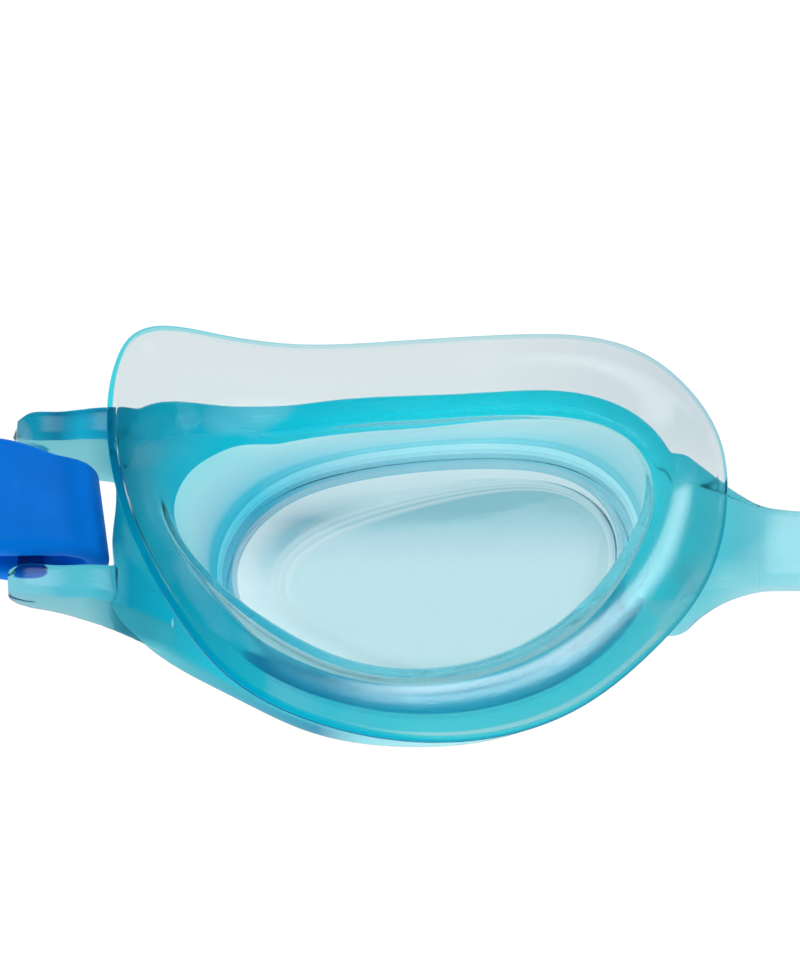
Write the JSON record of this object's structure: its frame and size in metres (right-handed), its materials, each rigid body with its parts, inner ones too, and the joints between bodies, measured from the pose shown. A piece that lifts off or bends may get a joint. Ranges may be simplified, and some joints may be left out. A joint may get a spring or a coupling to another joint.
{
  "type": "swim goggles",
  "caption": "Swim goggles with soft eye gaskets, clear tinted lenses in flexible frames, a nose bridge and a flat head strap with adjusters, lying lens side down.",
  "frame": {"origin": "middle of the footprint, on the surface that the goggles lie on, which is the plane of the lens fronts", "axes": "+X across the face to the wearer's right, +Y from the cheek edge to the brow edge, +Z from the lenses to the face"},
  "size_m": [0.2214, 0.1434, 0.0237],
  "materials": {
    "aqua_frame": "glossy, translucent",
    "aqua_gasket": "satin, translucent",
    "tinted_lens": "polished, clear with a light blue tint",
    "blue_strap": "satin",
    "blue_adjuster": "fine matte"
  },
  "bodies": {
    "cup_right": {"right_frame": "aqua_frame", "right_gasket": "aqua_gasket", "right_lens": "tinted_lens", "nose_bridge": "aqua_frame"},
    "cup_left": {"left_frame": "aqua_frame", "left_gasket": "aqua_gasket", "left_lens": "tinted_lens"},
    "strap_ends": {"strap_end_left": "blue_strap", "strap_end_right": "blue_strap"},
    "strap": {"strap_band": "blue_strap", "strap_tail_left": "blue_strap", "strap_tail_right": "blue_strap"},
    "slide_left": {"strap_slide_left": "blue_adjuster"},
    "slide_right": {"strap_slide_right": "blue_adjuster"}
  },
  "joints": [
    {"name": "bridge_flex", "type": "hinge", "parent": "cup_right", "child": "cup_left", "pos_m": [0, -0.04662, 0.0052], "axis": [0, 1, 0], "range_deg": [-8, 16], "stiffness_Nm_per_rad": 0.02, "deforming": ["nose_bridge"]},
    {"name": "strap_follow", "type": "hinge", "parent": "cup_right", "child": "strap_ends", "pos_m": [0.0805, -0.04372, 0.0083], "axis": [0, 1, 0], "range_deg": [-4, 8]},
    {"name": "strap_swing", "type": "hinge", "parent": "strap_ends", "child": "strap", "pos_m": [0, -0.04372, 0.0114], "axis": [1, 0, 0], "range_deg": [0, 175]},
    {"name": "slide_left_travel", "type": "slide", "parent": "strap", "child": "slide_left", "axis": [0, 0.9992, -0.0407], "range_m": [-0.012, 0.012]},
    {"name": "slide_right_travel", "type": "slide", "parent": "strap", "child": "slide_right", "axis": [0, 0.9992, -0.0407], "range_m": [-0.012, 0.012]}
  ],
  "couplings": [
    {"joint": "strap_follow", "follows": "bridge_flex", "ratio": 0.5}
  ]
}
